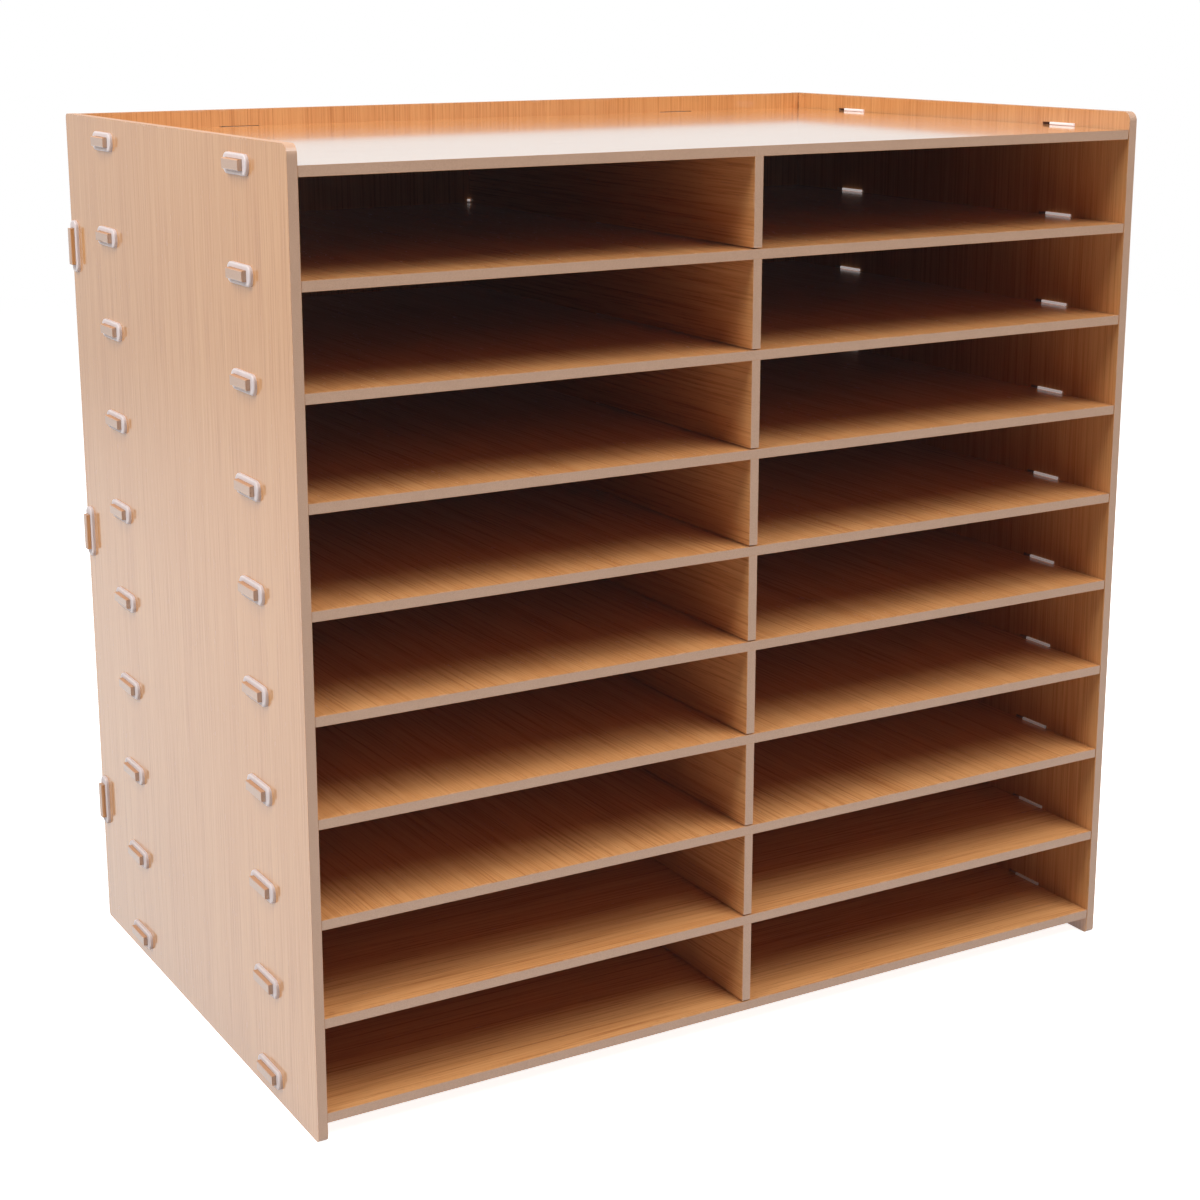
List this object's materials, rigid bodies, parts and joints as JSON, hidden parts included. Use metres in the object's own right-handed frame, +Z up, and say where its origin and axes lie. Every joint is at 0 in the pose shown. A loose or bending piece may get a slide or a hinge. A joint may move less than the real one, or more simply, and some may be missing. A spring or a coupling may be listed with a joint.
{
  "type": "literature organizer",
  "caption": "Desktop literature organizer with two columns of open letter-size compartments, made of slotted boards held by plastic clips.",
  "frame": {"origin": "under the middle of the organizer, on the surface that its side panels stand on", "axes": "+Z up, +X towards the right side panel, +Y towards the back panel; the compartments open towards -Y"},
  "size_m": [0.5, 0.315, 0.4738],
  "materials": {
    "grained_board": "satin",
    "clip_plastic": "satin"
  },
  "bodies": {
    "root": {"side_panel_left": "grained_board", "side_panel_right": "grained_board", "back_panel": "grained_board", "divider": "grained_board", "top_shelf": "grained_board", "middle_shelf_1": "grained_board", "middle_shelf_2": "grained_board", "middle_shelf_3": "grained_board", "middle_shelf_4": "grained_board", "middle_shelf_5": "grained_board", "middle_shelf_6": "grained_board", "middle_shelf_7": "grained_board", "middle_shelf_8": "grained_board", "bottom_shelf": "grained_board", "clips_left_side_front": "clip_plastic", "clips_left_side_rear": "clip_plastic", "clips_left_side_back_panel": "clip_plastic", "clips_right_side_front": "clip_plastic", "clips_right_side_rear": "clip_plastic", "clips_right_side_back_panel": "clip_plastic", "clips_back_left": "clip_plastic", "clips_back_right": "clip_plastic", "clips_back_divider": "clip_plastic"}
  },
  "joints": []
}
